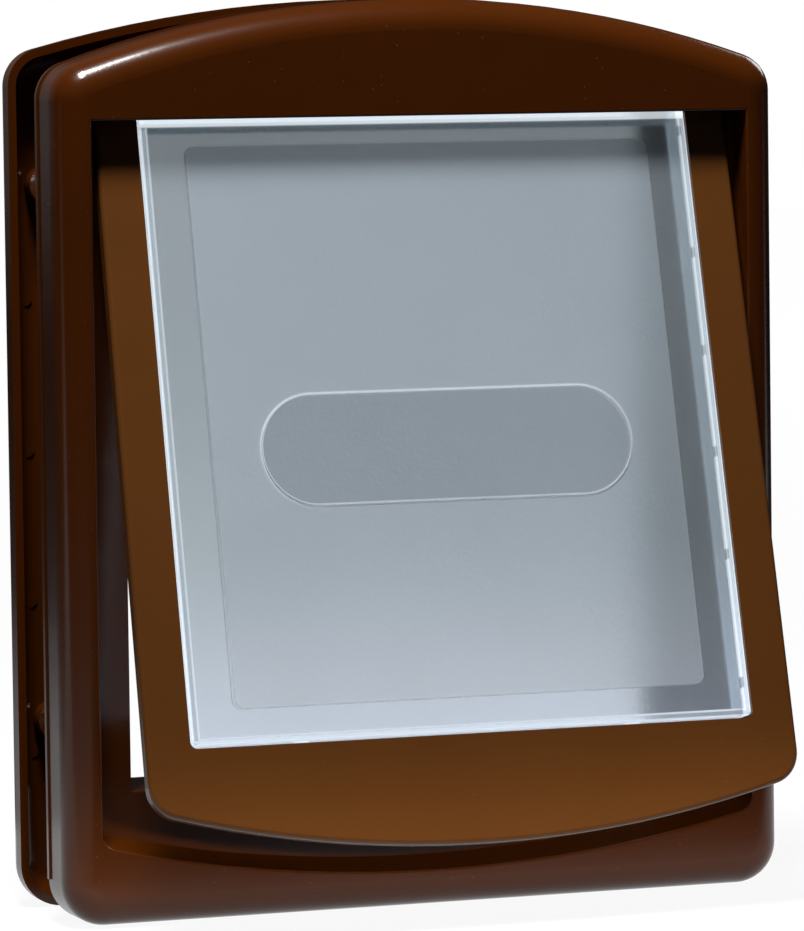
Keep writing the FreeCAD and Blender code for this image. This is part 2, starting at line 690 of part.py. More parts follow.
def add_lugs(body):
    """Lugs on the panel's side and bottom walls that catch behind the surround."""
    front = SURROUND_BACK + " + seat_gap"
    deep = PANEL_BACK + " - (" + front + ")"
    rooted = "lug_reach + panel_wall / 2"
    for number in range(1, SIDE_LUGS + 1):
        drop = "(panel_reach * lug_share_%d)" % number
        for name, sign in SIDES:
            start = panel_half(drop) + " - panel_wall / 2"
            if sign == "-":
                start = "-(" + panel_half(drop) + ") - lug_reach"
            primitive(body, "AdditiveBox", "lug_%s_%d" % (name, number), (start, front, "-" + drop),
                      {"Length": rooted, "Width": deep, "Height": "lug_height"})
    for name, sign in SIDES:
        primitive(body, "AdditiveBox", "low_lug_" + name,
                  (sign + "low_lug_half_spacing - lug_height / 2", front, "-panel_reach - lug_reach"),
                  {"Length": "lug_height", "Width": deep, "Height": rooted})


PIN_OUTER = "opening_half_width + pin_socket_depth - pin_end_gap"
PIN_INSIDE = "panel_half_top - (" + PIN_OUTER + ") + pin_length"


def make_pin(name, sign):
    """A hinge pin from the frame's socket through the surround's ear into the panel's tube."""
    body = new_body("hinge_pin_" + name)
    turn = TO_LEFT if sign == "" else TO_RIGHT
    primitive(body, "AdditiveCylinder", "pin_" + name, (sign + "(" + PIN_OUTER + ")", "0", "0"),
              {"Radius": "pin_radius", "Height": "pin_length"}, turn)
    ends = tip_edges(body, lambda edge: hasattr(edge.Curve, "Radius"))
    chamfer = body.newObject("PartDesign::Chamfer", "pin_ends_" + name)
    chamfer.Base = ends
    bind(chamfer, "Size", "pin_radius / 4")
    return hang(body)


def make_spring():
    """The coil spring that pushes the right pin outwards, wound along the hinge axis."""
    wire = worth("spring_wire")
    radius = worth(BORE_RADIUS) - wire
    room = worth("spring_length") - wire - worth("running_gap") * 2
    helix = Part.makeHelix(worth("spring_pitch"), room, radius)
    section = Part.Wire([Part.makeCircle(wire / 2, Vector(radius, 0, 0), Vector(0, 1, 0))])
    coil = Part.Wire(helix).makePipeShell([section], True, True)
    spring = doc.addObject("Part::Feature", "Spring")
    spring.Label = "hinge_spring"
    spring.Shape = coil
    start = worth(PIN_OUTER + " - pin_length") - wire / 2 - worth("running_gap")
    turn = Rotation(Vector(1, 0, 0), -worth("open_angle")).multiply(TO_LEFT)
    spring.Placement = Placement(Vector(start, worth(AXIS_Y), worth("axis_height")), turn)
    return spring


def make_bolt(name, across, height):
    """A cheese-head bolt with a hexagon socket, in from the house side."""
    body = new_body("fixing_bolt_" + name)
    primitive(body, "AdditiveCylinder", "shank_" + name, (across, BOLT_TIP, height),
              {"Radius": "bolt_radius", "Height": HEAD_SEAT + " - (" + BOLT_TIP + ")"}, TO_HOUSE)
    primitive(body, "AdditiveCylinder", "head_" + name, (across, HEAD_SEAT, height),
              {"Radius": "bolt_head_radius", "Height": "bolt_head_height"}, TO_HOUSE)
    primitive(body, "SubtractivePrism", "socket_" + name,
              (across, HEAD_SEAT + " + bolt_head_height - bolt_socket_depth", height),
              {"Circumradius": "bolt_socket_radius", "Height": "bolt_socket_depth"}, TO_HOUSE)
    return body


def make_insert(name, across, height):
    """The threaded sleeve that a bolt screws into, pressed into the outer frame's boss."""
    body = new_body("threaded_sleeve_" + name)
    start = "insert_boss_reach - insert_length"
    primitive(body, "AdditiveCylinder", "sleeve_" + name, (across, start, height),
              {"Radius": "insert_radius", "Height": "insert_length"}, TO_HOUSE)
    primitive(body, "SubtractiveCylinder", "thread_" + name, (across, start, height),
              {"Radius": "bolt_radius + running_gap", "Height": "insert_length"}, TO_HOUSE)
    return body


def make_cap(name, across, height):
    """The cap that closes the hole over a bolt head."""
    body = new_body("bolt_cap_" + name)
    primitive(body, "AdditiveCylinder", "spigot_" + name, (across, INNER_FACE + " - cap_spigot", height),
              {"Radius": "bolt_head_radius", "Height": "cap_spigot + cap_thick / 2"}, TO_HOUSE)
    primitive(body, "AdditiveCylinder", "disc_" + name, (across, INNER_FACE, height),
              {"Radius": "cap_radius", "Height": "cap_thick"}, TO_HOUSE)
    fillet(body, "cap_edge_" + name, "cap_thick / 2",
           lambda edge: lies_at(edge, worth(INNER_FACE + " + cap_thick")))
    return body


def make_frame_magnet():
    """The bar magnet glued behind the land, under the passage."""
    body = new_body("frame_magnet")
    primitive(body, "AdditiveBox", "frame_bar",
              ("-magnet_length / 2", LAND_BACK, "axis_height - magnet_drop - magnet_height / 2"),
              {"Length": "magnet_length", "Width": "magnet_thick", "Height": "magnet_height"})
    return body


def make_flap_magnet():
    """The thin bar magnet in the surround's hollow bottom bar."""
    body = new_body("flap_magnet")
    primitive(body, "AdditiveBox", "flap_bar",
              ("-magnet_length / 2", "surround_wall - surround_front + running_gap",
               "-magnet_drop - magnet_height / 2"),
              {"Length": "magnet_length", "Width": "flap_magnet_thick", "Height": "magnet_height"})
    return hang(body)


PIECES = [make_outer_frame(), make_inner_frame(), make_frame_magnet()]
for place in bolt_places():
    PIECES.append(make_bolt(*place))
    PIECES.append(make_insert(*place))
    PIECES.append(make_cap(*place))
PIECES.append(make_surround())
PIECES.append(make_flap_magnet())
PIECES.append(make_panel())
for side in SIDES:
    PIECES.append(make_pin(*side))
PIECES.append(make_spring())
doc.recompute()

for item in doc.Objects:
    if "Invalid" in item.State or "Error" in item.State:
        raise ValueError("%s failed: %s" % (item.Name, item.State))
for piece in PIECES:
    if piece.Shape.isNull() or not piece.Shape.isValid() or len(piece.Shape.Solids) != 1:
        raise ValueError("not one sound solid: " + piece.Label)
    print("%-28s %10.1f" % (piece.Label, piece.Shape.Volume), piece.Shape.optimalBoundingBox())

os.makedirs("parts", exist_ok=True)
for piece in PIECES:
    piece.Shape.exportStep("parts/" + piece.Label + ".step")
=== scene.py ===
# %% [markdown]
# # A cat flap, dressed for its picture
# The measured model of the cat flap comes in first and stays as it is. This lesson gives it a camera,
# soft studio light, and the finishes of the real thing: glossy brown mouldings, a frosted clear flap,
# plated steel, brass and pressed magnets. Only the four bolts are made anew, with their threads.

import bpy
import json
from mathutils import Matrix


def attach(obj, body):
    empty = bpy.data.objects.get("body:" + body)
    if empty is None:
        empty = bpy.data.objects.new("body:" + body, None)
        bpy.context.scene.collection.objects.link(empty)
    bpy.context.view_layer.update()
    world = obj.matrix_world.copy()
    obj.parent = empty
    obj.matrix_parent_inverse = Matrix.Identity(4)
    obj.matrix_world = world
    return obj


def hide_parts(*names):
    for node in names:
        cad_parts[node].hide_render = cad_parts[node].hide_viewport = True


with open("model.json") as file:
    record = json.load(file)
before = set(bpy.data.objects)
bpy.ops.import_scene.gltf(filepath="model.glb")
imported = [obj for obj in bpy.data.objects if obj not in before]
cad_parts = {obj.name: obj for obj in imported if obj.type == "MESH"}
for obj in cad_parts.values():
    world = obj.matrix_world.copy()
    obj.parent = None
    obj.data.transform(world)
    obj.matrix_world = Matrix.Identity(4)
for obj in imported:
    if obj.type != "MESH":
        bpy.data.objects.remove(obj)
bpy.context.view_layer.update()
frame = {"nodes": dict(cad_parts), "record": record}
nodes = frame["nodes"]

# %% Tools for the rest of the lesson
import json
from math import cos, pi, radians, sin

import bpy
from mathutils import Matrix, Vector

bpy.ops.object.select_all(action="DESELECT")
MM = 0.001

# %% [markdown]
# ## The camera
# The photograph was taken from the street side, to the left of the flap and a little above its middle,
# with a long lens. A camera's own axes can be set straight from three directions: right, up and back.
# That is exact, where turning it by angles would be guesswork. The two shifts slide the picture without
# turning the camera.

# %% Camera at the photograph's angle
CAMERA_PLACE = (-0.4888, -1.3505, 0.2189)
CAMERA_RIGHT = (0.9414, -0.3371, -0.0131)
CAMERA_AHEAD = (0.3356, 0.9398, -0.0643)
LENS = 213.1
SENSOR_WIDTH = 36
SHIFT_ACROSS = 0.02256
SHIFT_UP = -0.0521
FARTHEST_SEEN = 50

right = Vector(CAMERA_RIGHT).normalized()
ahead = Vector(CAMERA_AHEAD).normalized()
up = right.cross(ahead)
bpy.ops.object.camera_add(location=(0, 0, 0))
camera = bpy.context.object
camera.name = "camera"
turn = Matrix((right, up, -ahead)).transposed()
camera.matrix_world = Matrix.Translation(CAMERA_PLACE) @ turn.to_4x4()
camera.data.sensor_width = SENSOR_WIDTH
camera.data.lens = LENS
camera.data.shift_x = SHIFT_ACROSS
camera.data.shift_y = SHIFT_UP
camera.data.clip_end = FARTHEST_SEEN
bpy.context.scene.camera = camera
bpy.context.scene.view_settings.view_transform = "Standard"
print("camera", tuple(round(value, 3) for value in camera.location))

# %% [markdown]
# ## Nodes with less typing
# Every finish below is a small tree of nodes. A few helpers keep the cells short: one adds a node with
# its settings and sockets, one fills or links a socket, and the others add a sum, a range or a mix of
# colours.

# %% Helpers for node trees
def add_node(tree, kind, settings=None, **sockets):
    """A node of this kind; settings are its own fields, sockets are values or links by name."""
    node = tree.nodes.new(kind)
    for field, value in (settings or {}).items():
        setattr(node, field, value)
    for name, value in sockets.items():
        put(tree, node, name.replace("_", " "), value)
    return node


def put(tree, node, name, value):
    """Give a socket a value, or link another node's output to it."""
    socket = node.inputs[int(name) if name.isdigit() else name]
    if isinstance(value, bpy.types.NodeSocket):
        tree.links.new(value, socket)
    else:
        socket.default_value = value


def maths(tree, operation, *values, clamp=False):
    """The output of a Math node."""
    node = tree.nodes.new("ShaderNodeMath")
    node.operation = operation
    node.use_clamp = clamp
    for number, value in enumerate(values):
        put(tree, node, str(number), value)
    return node.outputs[0]


def remap(tree, value, low, high, to_low=0.0, to_high=1.0):
    """Carry a value smoothly from one range to another."""
    node = tree.nodes.new("ShaderNodeMapRange")
    node.interpolation_type = "SMOOTHSTEP"
    for name, number in (("Value", value), ("From Min", low), ("From Max", high),
                         ("To Min", to_low), ("To Max", to_high)):
        put(tree, node, name, number)
    return node.outputs[0]


def blend_colours(tree, share, first, second):
    """Two colours mixed by a share."""
    node = tree.nodes.new("ShaderNodeMix")
    node.data_type = "RGBA"
    put(tree, node, "0", share)
    for number, value in ((6, first), (7, second)):
        put(tree, node, str(number), value)
    return node.outputs[2]

# %% [markdown]
# ## A skin shared by all the mouldings
# Injection-moulded plastic is never quite flat: the surface swells and sinks a little where the wall
# cooled unevenly, it has a very fine orange peel, and it gathers a few specks of dust. All mouldings
# share that, so it becomes one node group with a few values to turn, instead of a copy in each
# material.

# %% Node group for a moulded skin
FLOW_SCALE = 24.0                # slow swells in the wall
PEEL_SCALE = 900.0               # orange peel
SPECK_SCALE = 420.0              # cells that may hold a speck of dust
SPECK_EDGE = (0.06, 0.10)        # a speck fades out between these distances from its cell's middle
SPECK_CHOICE = (0.80, 0.84)      # only cells with a random value above this hold one
DUST_COLOUR = (0.55, 0.52, 0.48, 1)
MOTTLE_ROUGHNESS = 0.6
SKIN_BUMP = 0.25
SKIN_DEPTH = 1.2 * MM


def make_skin_group():
    """Colour, roughness and normal of a moulded surface, from a base colour."""
    tree = bpy.data.node_groups.new("moulded skin", "ShaderNodeTree")
    face = tree.interface
    face.new_socket(name="Colour", in_out="INPUT", socket_type="NodeSocketColor")
    for name, value in (("Roughness", 0.2), ("Mottle", 0.1), ("Peel", 0.05), ("Dust", 0.1)):
        socket = face.new_socket(name=name, in_out="INPUT", socket_type="NodeSocketFloat")
        socket.default_value = value
    face.new_socket(name="Colour", in_out="OUTPUT", socket_type="NodeSocketColor")
    face.new_socket(name="Roughness", in_out="OUTPUT", socket_type="NodeSocketFloat")
    face.new_socket(name="Normal", in_out="OUTPUT", socket_type="NodeSocketVector")
    given = tree.nodes.new("NodeGroupInput").outputs
    place = tree.nodes.new("ShaderNodeTexCoord").outputs["Object"]
    flow = add_node(tree, "ShaderNodeTexNoise", Vector=place, Scale=FLOW_SCALE, Detail=3.0,
                    Roughness=0.55).outputs["Fac"]
    peel = add_node(tree, "ShaderNodeTexNoise", Vector=place, Scale=PEEL_SCALE,
                    Detail=2.0).outputs["Fac"]
    specks = add_node(tree, "ShaderNodeTexVoronoi", Vector=place, Scale=SPECK_SCALE).outputs
    swing = maths(tree, "MULTIPLY", maths(tree, "SUBTRACT", flow, 0.5), given["Mottle"])
    bright = maths(tree, "ADD", 1.0, maths(tree, "MULTIPLY", swing, 2.0))
    scaled = add_node(tree, "ShaderNodeVectorMath", {"operation": "SCALE"}, Scale=bright)
    put(tree, scaled, "0", given["Colour"])
    dot = maths(tree, "MULTIPLY", remap(tree, specks["Distance"], *SPECK_EDGE, 1.0, 0.0),
                given["Dust"])
    dust = maths(tree, "MULTIPLY", dot, remap(tree, specks["Color"], *SPECK_CHOICE))
    uneven = maths(tree, "ADD", maths(tree, "MULTIPLY", swing, MOTTLE_ROUGHNESS), dust)
    height = maths(tree, "ADD", flow, maths(tree, "MULTIPLY", peel, given["Peel"]))
    bump = add_node(tree, "ShaderNodeBump", Strength=SKIN_BUMP, Distance=SKIN_DEPTH, Height=height)
    out = tree.nodes.new("NodeGroupOutput")
    put(tree, out, "Colour", blend_colours(tree, dust, scaled.outputs[0], DUST_COLOUR))
    put(tree, out, "Roughness", maths(tree, "ADD", given["Roughness"], uneven, clamp=True))
    put(tree, out, "Normal", bump.outputs[0])
    return tree


skin_group = make_skin_group()
print("skin group nodes:", len(skin_group.nodes))

# %% Helpers for a new material with the skin in it
def new_material(name):
    """An empty material with its tree and its shader ready."""
    material = bpy.data.materials.new(name)
    material.use_nodes = True
    tree = material.node_tree
    tree.nodes.clear()
    shader = tree.nodes.new("ShaderNodeBsdfPrincipled")
    out = tree.nodes.new("ShaderNodeOutputMaterial")
    tree.links.new(shader.outputs[0], out.inputs[0])
    return material, tree, shader


def wear_skin(tree, shader, colour, rough, mottle, peel, dust):
    """The moulded skin placed in a material with its own values."""
    node = tree.nodes.new("ShaderNodeGroup")
    node.node_tree = skin_group
    for name, value in (("Colour", colour), ("Roughness", rough), ("Mottle", mottle),
                        ("Peel", peel), ("Dust", dust)):
        put(tree, node, name, value)
    put(tree, shader, "Base Color", node.outputs["Colour"])
    put(tree, shader, "Roughness", node.outputs["Roughness"])
    put(tree, shader, "Normal", node.outputs["Normal"])

# %% [markdown]
# ## Glossy brown plastic
# Both frames, the surround and the caps are moulded in dark brown ABS with a polished finish. A
# Principled shader with low roughness and a thin coat gives the sharp streak of the lamp on the rolls
# while the colour below stays deep. Every brown piece but the surround gets a darker, redder brown.
# This is painted shade for the frames' upright faces, which get less of the lamp above.

# %% Brown plastic
FLAP_BROWN = (0.082, 0.028, 0.0060, 1)
# The frames' brown is darker and redder than the flap's. This is painted shade.
FRAME_BROWN_PAINTED_SHADE = (0.045, 0.0098, 0.0006, 1)
BROWN_IOR = 1.50
BROWN_SPECULAR = 0.30
BROWN_COAT = 0.10
BROWN_COAT_ROUGHNESS = 0.10


def make_brown(name, colour):
    """Polished brown ABS."""
    material, tree, shader = new_material(name)
    wear_skin(tree, shader, colour, rough=0.20, mottle=0.10, peel=0.06, dust=0.06)
    shader.inputs["IOR"].default_value = BROWN_IOR
    shader.inputs["Specular IOR Level"].default_value = BROWN_SPECULAR
    shader.inputs["Coat Weight"].default_value = BROWN_COAT
    shader.inputs["Coat Roughness"].default_value = BROWN_COAT_ROUGHNESS
    return material


brown = make_brown("brown plastic of the flap", FLAP_BROWN)
painted_shade_brown = make_brown("brown plastic of the frames", FRAME_BROWN_PAINTED_SHADE)
print("made", brown.name, "and", painted_shade_brown.name)

# %% [markdown]
# ## The clear flap and its frosted field
# The flap is moulded in clear plastic. The mould is polished round the edge and etched in the middle,
# so the light is scattered inside the field and passes the margin cleaner. The oval plaque is a
# smoother patch in the frosting. One material can hold all three, because each place on the flap is
# known: a point is turned back by the rest opening round the hinge axis, and simple distances then say
# which zone it is in.

# %% Zones of the clear flap
AXIS = (0, -8.3 * MM, 208.4 * MM)
OPEN = radians(14.4)


def hinge_place(tree):
    """Coordinates of the hanging flap: across, depth and drop, measured from the hinge axis."""
    place = tree.nodes.new("ShaderNodeTexCoord").outputs["Object"]
    turned = add_node(tree, "ShaderNodeVectorRotate", {"rotation_type": "X_AXIS"}, Vector=place,
                      Center=AXIS, Angle=OPEN)
    moved = add_node(tree, "ShaderNodeVectorMath", {"operation": "SUBTRACT"})
    put(tree, moved, "0", turned.outputs[0])
    put(tree, moved, "1", AXIS)
    return add_node(tree, "ShaderNodeSeparateXYZ", Vector=moved.outputs[0]).outputs


def outside_by(tree, value, half):
    """How far a value lies past plus or minus half, and zero between them."""
    past = maths(tree, "SUBTRACT", maths(tree, "ABSOLUTE", value), half)
    return maths(tree, "MAXIMUM", past, 0.0)


def rounded_box(tree, across, height, half_x, half_z, corner):
    """Distance outside a rounded rectangle in metres, negative inside."""
    dx = outside_by(tree, across, half_x - corner)
    dz = outside_by(tree, height, half_z - corner)
    squares = maths(tree, "ADD", maths(tree, "MULTIPLY", dx, dx), maths(tree, "MULTIPLY", dz, dz))
    return maths(tree, "SUBTRACT", maths(tree, "SQRT", squares), corner)


FIELD_MIDDLE = -83.4 * MM        # drop of the frosted field's middle below the hinge axis
FIELD_SIZES = (63.4 * MM, 72.3 * MM, 2.5 * MM)     # half width, half height and corner
OVAL_MIDDLE = -90.6 * MM
OVAL_SIZES = (50.4 * MM, 14.4 * MM, 14.3 * MM)
SOFT = 0.2 * MM                  # half the width of the step between two zones
OVAL_HIGHLIGHT_FADE = (0.2 * MM, 0.5 * MM)


def find_zones(tree, across, drop):
    """Masks of the frosted field, the oval, and the line round the oval where a highlight is painted.
    """
    field = rounded_box(tree, across, maths(tree, "SUBTRACT", drop, FIELD_MIDDLE), *FIELD_SIZES)
    oval = rounded_box(tree, across, maths(tree, "SUBTRACT", drop, OVAL_MIDDLE), *OVAL_SIZES)
    in_field = remap(tree, field, -SOFT, SOFT, 1.0, 0.0)
    in_oval = remap(tree, oval, -SOFT, SOFT, 1.0, 0.0)
    painted_oval_highlight = remap(tree, maths(tree, "ABSOLUTE", oval), *OVAL_HIGHLIGHT_FADE, 1.0, 0.0)
    return in_field, in_oval, painted_oval_highlight

# %% [markdown]
# Light runs along inside a clear sheet and comes out at its rims. A weak glow is painted in its place
# on the
# front rim, on the seam inside that rim, on the side walls and on the strip at the head. This is
# painted light:
# the glow comes from a part that is no lamp.

# %% Painted glow on the rims
# Strengths and places of the painted glow on the rims, the seam, the walls and the head strip.
PANEL_HALF_WIDTH = 74.8 * MM     # at the height of the hinge axis
PANEL_FLARE = 0.8 / 160.7        # how much each side leans out with the drop
PANEL_FOOT = -164.6 * MM
RIM_FADE = (0.3 * MM, 0.6 * MM)
RIM_GLOW = 1.2
SEAM_INSET = 1.7 * MM
SEAM_FADE = (0.1 * MM, 0.4 * MM)
SEAM_GLOW = 0.8
WALL_INSET = 2.3 * MM
HEAD_FADE = (-6.3 * MM, -5.9 * MM)     # drop at which the head strip begins
HEAD_DEPTH = (-1.6 * MM, -1.0 * MM)
HEAD_GLOW = (1.7, 0.3)           # on the front of the head strip and behind it


def find_edge(tree, across, depth, drop):
    """How strongly the painted glow shines from the sheet's rims at a place."""
    half = maths(tree, "SUBTRACT", PANEL_HALF_WIDTH, maths(tree, "MULTIPLY", drop, PANEL_FLARE))
    beside = maths(tree, "SUBTRACT", half, maths(tree, "ABSOLUTE", across))
    inset = maths(tree, "MINIMUM", beside, maths(tree, "SUBTRACT", drop, PANEL_FOOT))
    rim = remap(tree, inset, *RIM_FADE, RIM_GLOW, 0.0)
    off_seam = maths(tree, "ABSOLUTE", maths(tree, "SUBTRACT", inset, SEAM_INSET))
    seam = remap(tree, off_seam, *SEAM_FADE, SEAM_GLOW, 0.0)
    behind_sheet = remap(tree, depth, -SOFT, SOFT)
    at_rim = maths(tree, "MULTIPLY", maths(tree, "MAXIMUM", rim, seam),
                   maths(tree, "SUBTRACT", 1.0, behind_sheet))
    at_walls = maths(tree, "MULTIPLY", maths(tree, "LESS_THAN", inset, WALL_INSET), behind_sheet)
    at_head = maths(tree, "MULTIPLY", remap(tree, drop, *HEAD_FADE),
                    remap(tree, depth, *HEAD_DEPTH, *HEAD_GLOW))
    return maths(tree, "MAXIMUM", maths(tree, "MAXIMUM", at_rim, at_walls), at_head)

# %% [markdown]
# The colours come last. Near its foot the flap is painted paler. This is painted light for the white
# table that shows in it there.

# %% Clear plastic
# The second colour of each pair is painted lighter. This is painted light, and it grows towards the
# flap's foot.
ETCHED, ETCHED_PAINTED_LIGHTER = (0.42, 0.48, 0.53, 1), (0.57, 0.62, 0.69, 1)
MARGIN, MARGIN_PAINTED_LIGHTER = (0.43, 0.49, 0.53, 1), (0.55, 0.61, 0.69, 1)
PAINTED_LIGHT_DROPS = (-165 * MM, -110 * MM)
OVAL_COLOUR = (0.34, 0.39, 0.44, 1)
# The line round the oval is painted pale. This is a painted highlight on the plaque's edge.
OVAL_HIGHLIGHT_COLOUR = (0.75, 0.80, 0.86, 1)
PAINTED_GLOW_COLOUR = (0.80, 0.86, 0.92, 1)
PAINTED_GLOW_STRENGTH = 0.30
CLEAR_ROUGHNESS = 0.20
FIELD_ROUGHER = 0.10
OVAL_SMOOTHER = 0.06
CLEARNESS = (0.80, 0.62)         # share of light let through by the margin and by the field
CLEAR_IOR = 1.49


def make_clear():
    """Clear plastic with an etched field and a smoother oval in it."""
    material, tree, shader = new_material("clear plastic")
    across, depth, drop = hinge_place(tree)
    in_field, in_oval, painted_oval_highlight = find_zones(tree, across, drop)
    low = remap(tree, drop, *PAINTED_LIGHT_DROPS, 1.0, 0.0)
    frosted = blend_colours(tree, in_field, blend_colours(tree, low, MARGIN, MARGIN_PAINTED_LIGHTER),
                            blend_colours(tree, low, ETCHED, ETCHED_PAINTED_LIGHTER))
    shaded = blend_colours(tree, in_oval, frosted, OVAL_COLOUR)
    tinted = blend_colours(tree, painted_oval_highlight, shaded, OVAL_HIGHLIGHT_COLOUR)
    rough = maths(tree, "ADD", maths(tree, "MULTIPLY", in_field, FIELD_ROUGHER), CLEAR_ROUGHNESS)
    rough = maths(tree, "SUBTRACT", rough, maths(tree, "MULTIPLY", in_oval, OVAL_SMOOTHER))
    wear_skin(tree, shader, tinted, rough, mottle=0.05, peel=0.10, dust=0.02)
    # Painted light: the rims glow by themselves, as a painted highlight that stands in for light
    # carried out of the sheet.
    painted_glow = find_edge(tree, across, depth, drop)
    put(tree, shader, "Emission Color", PAINTED_GLOW_COLOUR)
    put(tree, shader, "Emission Strength", maths(tree, "MULTIPLY", painted_glow, PAINTED_GLOW_STRENGTH))
    put(tree, shader, "Transmission Weight", remap(tree, in_field, 0.0, 1.0, *CLEARNESS))
    shader.inputs["IOR"].default_value = CLEAR_IOR
    return material


clear = make_clear()
print("made", clear.name, "with", len(clear.node_tree.nodes), "nodes")

# %% [markdown]
# ## Steel, brass and magnets
# The bolts, the pins and the spring are zinc-plated steel, a little uneven in its shine. The sleeves
# are turned brass, and the magnets are pressed ferrite: dark, dull and slightly grainy.

# %% Metals and magnets
METAL_GRAIN = 1500.0             # scale of the fine noise
FERRITE_GRAIN = 2500.0
DULLER = 0.72                    # brightness of the dull patches
ROUGHER = 0.15                   # what the grain adds to the roughness
GRAIN_BUMP = 0.15
GRAIN_DEPTH = 0.2 * MM


def make_metal(name, colour, rough, metallic, grain):
    """A metal or a pressed magnet with a fine grain."""
    material, tree, shader = new_material(name)
    place = tree.nodes.new("ShaderNodeTexCoord").outputs["Object"]
    fine = add_node(tree, "ShaderNodeTexNoise", Vector=place, Scale=grain,
                    Detail=4.0).outputs["Fac"]
    patches = add_node(tree, "ShaderNodeTexNoise", Vector=place, Scale=grain * 0.1,
                       Detail=2.0).outputs["Fac"]
    dull = tuple(value * DULLER for value in colour[:3]) + (1,)
    in_patch = remap(tree, patches, 0.35, 0.7)
    put(tree, shader, "Base Color", blend_colours(tree, in_patch, colour, dull))
    put(tree, shader, "Roughness", remap(tree, fine, 0.3, 0.7, rough, rough + ROUGHER))
    bump = add_node(tree, "ShaderNodeBump", Strength=GRAIN_BUMP, Distance=GRAIN_DEPTH, Height=fine)
    put(tree, shader, "Normal", bump.outputs[0])
    shader.inputs["Metallic"].default_value = metallic
    return material


steel = make_metal("plated steel", (0.58, 0.59, 0.61, 1), 0.25, 1.0, METAL_GRAIN)
brass = make_metal("turned brass", (0.70, 0.50, 0.22, 1), 0.28, 1.0, METAL_GRAIN)
ferrite = make_metal("pressed magnet", (0.045, 0.045, 0.05, 1), 0.55, 0.0, FERRITE_GRAIN)
print("made", steel.name, brass.name, ferrite.name, sep=", ")

# %% [markdown]
# ## Giving each piece its finish
# The measured pieces keep their meshes. Only their material slots are filled, and the record's own slot
# names say which finish each one has.

# %% Finishes by the record's slots
FINISHES = {"brown_plastic": painted_shade_brown, "clear_plastic": clear, "steel": steel, "brass": brass,
            "magnet": ferrite}
for entry in frame["record"]["subparts"]:
    piece = nodes[entry["node"]]
    finish = brown if entry["node"] == "flap_surround" else FINISHES[entry["material_slot"]]
    piece.data.materials.clear()
    piece.data.materials.append(finish)

# %% [markdown]
# ## Bolts with a rolled thread
# The bolts cross the gap where the door leaf goes, so from the side their threads show. A bolt is a
# turned thing: a list of rows gives its radius from the tip to the floor of its socket. A flat grid is
# rolled up into a tube along that list, one column of the grid for each direction round the axis. On
# thread rows the radius also climbs and falls with the angle, by one pitch for each turn, and that
# makes the helix. On socket rows the radius follows a hexagon.

# %% Rows of a bolt
PITCH = 0.7 * MM
THREAD_DEEP = 0.30 * MM
ROUND = 36
STEPS_PER_PITCH = 6


def round_form(radius, depth, angle):
    """A plain circle."""
    return radius


def thread_form(radius, depth, angle):
    """A ridge that climbs by one pitch in a turn."""
    share = (depth / PITCH - angle / (2 * pi)) % 1.0
    return radius - THREAD_DEEP * abs(2 * share - 1)


def hexagon_form(radius, depth, angle):
    """A hexagon with its corners at this radius."""
    return radius * cos(pi / 6) / cos(angle % (pi / 3) - pi / 6)


TIP = 0.2 * MM
THREAD_END = 23.0 * MM
SEAT = 30.4 * MM
HEAD_END = 33.0 * MM
TIP_RADIUS = 1.45 * MM
THREAD_RADIUS = 1.98 * MM
SHANK_RADIUS = 1.82 * MM
HEAD_RADIUS = 3.45 * MM
SOCKET_RADIUS = 1.5 * MM
SOCKET_DEPTH = 1.4 * MM
TIP_STEPS = 3                    # steps left out for the chamfer between the tip and the thread

BOLT_ROWS = [(TIP, TIP_RADIUS, round_form)]
thread_steps = round((THREAD_END - TIP) / PITCH * STEPS_PER_PITCH)
for step in range(TIP_STEPS, thread_steps + 1):
    BOLT_ROWS.append((TIP + step * PITCH / STEPS_PER_PITCH, THREAD_RADIUS, thread_form))
BOLT_ROWS += [
    (THREAD_END + 0.5 * MM, SHANK_RADIUS, round_form),
    (SEAT, SHANK_RADIUS, round_form),
    (SEAT, HEAD_RADIUS - 0.25 * MM, round_form),
    (SEAT + 0.25 * MM, HEAD_RADIUS, round_form),
    (HEAD_END - 0.35 * MM, HEAD_RADIUS, round_form),
    (HEAD_END, HEAD_RADIUS - 0.35 * MM, round_form),
    (HEAD_END, SOCKET_RADIUS, hexagon_form),
    (HEAD_END - SOCKET_DEPTH, SOCKET_RADIUS, hexagon_form),
]
print("rows from the tip to the socket:", len(BOLT_ROWS))

# %% Roll the rows up into bolts
def turned_piece(name, rows, across, height):
    """A grid rolled round an axis that runs into the house."""
    bpy.ops.object.select_all(action="DESELECT")
    bpy.ops.mesh.primitive_grid_add(x_subdivisions=ROUND, y_subdivisions=len(rows) - 1, size=2)
    made = bpy.context.object
    made.name = name
    for vertex in made.data.vertices:
        column = round((vertex.co.x + 1) / 2 * ROUND)
        depth, radius, form = rows[round((vertex.co.y + 1) / 2 * (len(rows) - 1))]
        angle = 2 * pi * (column % ROUND) / ROUND
        reach = form(radius, depth, angle)
        vertex.co = (across + reach * cos(angle), depth, height + reach * sin(angle))
    bpy.ops.object.mode_set(mode="EDIT")
    bpy.ops.mesh.select_all(action="SELECT")
    bpy.ops.mesh.remove_doubles(threshold=0.001 * MM)
    bpy.ops.mesh.fill_holes(sides=0)
    bpy.ops.mesh.normals_make_consistent(inside=False)
    bpy.ops.object.mode_set(mode="OBJECT")
    bpy.ops.object.shade_smooth_by_angle(angle=radians(40))
    return made


